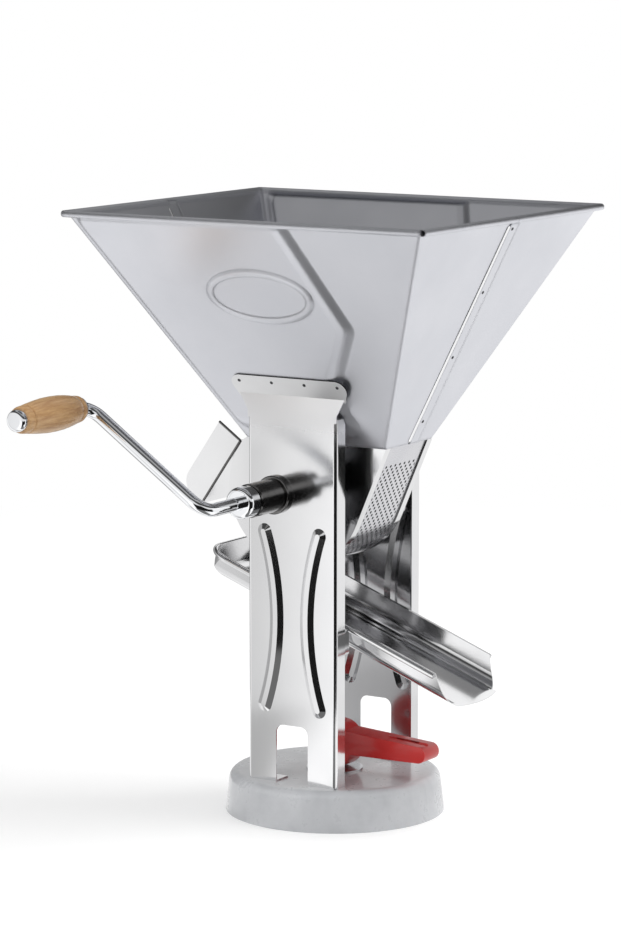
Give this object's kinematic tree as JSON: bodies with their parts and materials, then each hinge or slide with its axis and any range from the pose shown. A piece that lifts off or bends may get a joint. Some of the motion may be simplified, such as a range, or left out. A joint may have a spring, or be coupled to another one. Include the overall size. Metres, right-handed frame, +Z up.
{
  "type": "tomato press",
  "caption": "Hand-cranked tomato press: flared sheet-metal hopper over a bladed rotor and perforated screen, with a skins chute, sloping juice tray and suction base.",
  "frame": {"origin": "on the table, under the middle of the round base, midway between the two legs", "axes": "+Z up, +X towards the juice spout, -Y towards the crank"},
  "size_m": [0.3467, 0.4266, 0.51],
  "materials": {
    "hopper_steel": "satin tinned sheet",
    "polished_steel": "bright tinned sheet, almost a mirror",
    "screen_steel": "perforated bright sheet",
    "bushing_steel": "dark turned steel",
    "plain_steel": "plain turned steel",
    "crank_chrome": "chrome plate",
    "rotor_plastic": "dark food-grade plastic",
    "washer_plastic": "black plastic",
    "grip_wood": "varnished turned wood",
    "base_paint": "silver-grey paint",
    "lever_plastic": "red moulded plastic",
    "cup_rubber": "black rubber"
  },
  "bodies": {
    "frame": {"hopper_front": "hopper_steel", "hopper_rear": "hopper_steel", "front_leg": "polished_steel", "rear_leg": "polished_steel", "front_end_plate": "polished_steel", "rear_end_plate": "polished_steel", "strainer_screen": "screen_steel", "trough_sheet": "polished_steel", "skin_chute": "polished_steel", "front_bushing": "bushing_steel", "rear_bushing": "bushing_steel", "front_collar": "bushing_steel", "rear_collar": "bushing_steel", "tray_clips": "polished_steel", "base_shell": "base_paint", "suction_cup": "cup_rubber", "cam_washer": "plain_steel", "base_rivets": "plain_steel"},
    "crank": {"rotor_shaft": "plain_steel", "rotor_drum": "rotor_plastic", "wiper_blades": "rotor_plastic", "rotor_pin": "plain_steel", "rear_washer": "plain_steel", "retaining_ring": "plain_steel", "thrust_washer": "washer_plastic", "crank_coupling": "crank_chrome", "coupling_screw": "plain_steel", "crank_rod": "crank_chrome", "grip_washer": "plain_steel", "grip_cap": "crank_chrome"},
    "grip": {"crank_grip": "grip_wood"},
    "tray": {"juice_tray": "polished_steel"},
    "stem": {"suction_stem": "plain_steel"},
    "lever": {"suction_lever": "lever_plastic", "lever_pin": "plain_steel"}
  },
  "joints": [
    {"name": "crank_turn", "type": "hinge", "parent": "frame", "child": "crank", "pos_m": [-0.0163, 0, 0.2764], "axis": [0, 1, 0], "continuous": true},
    {"name": "grip_spin", "type": "hinge", "parent": "crank", "child": "grip", "pos_m": [-0.12825, -0.231, 0.35363], "axis": [0, 1, 0], "continuous": true},
    {"name": "tray_slide", "type": "slide", "parent": "frame", "child": "tray", "axis": [-0.9348, 0, 0.3551], "range_m": [0, 0.12]},
    {"name": "stem_lift", "type": "slide", "parent": "frame", "child": "stem", "axis": [0, 0, 1], "range_m": [-0.004, 0]},
    {"name": "lever_flip", "type": "hinge", "parent": "stem", "child": "lever", "pos_m": [0, 0, 0.0578], "axis": [0, -1, 0], "range_deg": [0, 90]}
  ],
  "couplings": [
    {"joint": "stem_lift", "follows": "lever_flip", "m_per_rad": -0.00254}
  ]
}
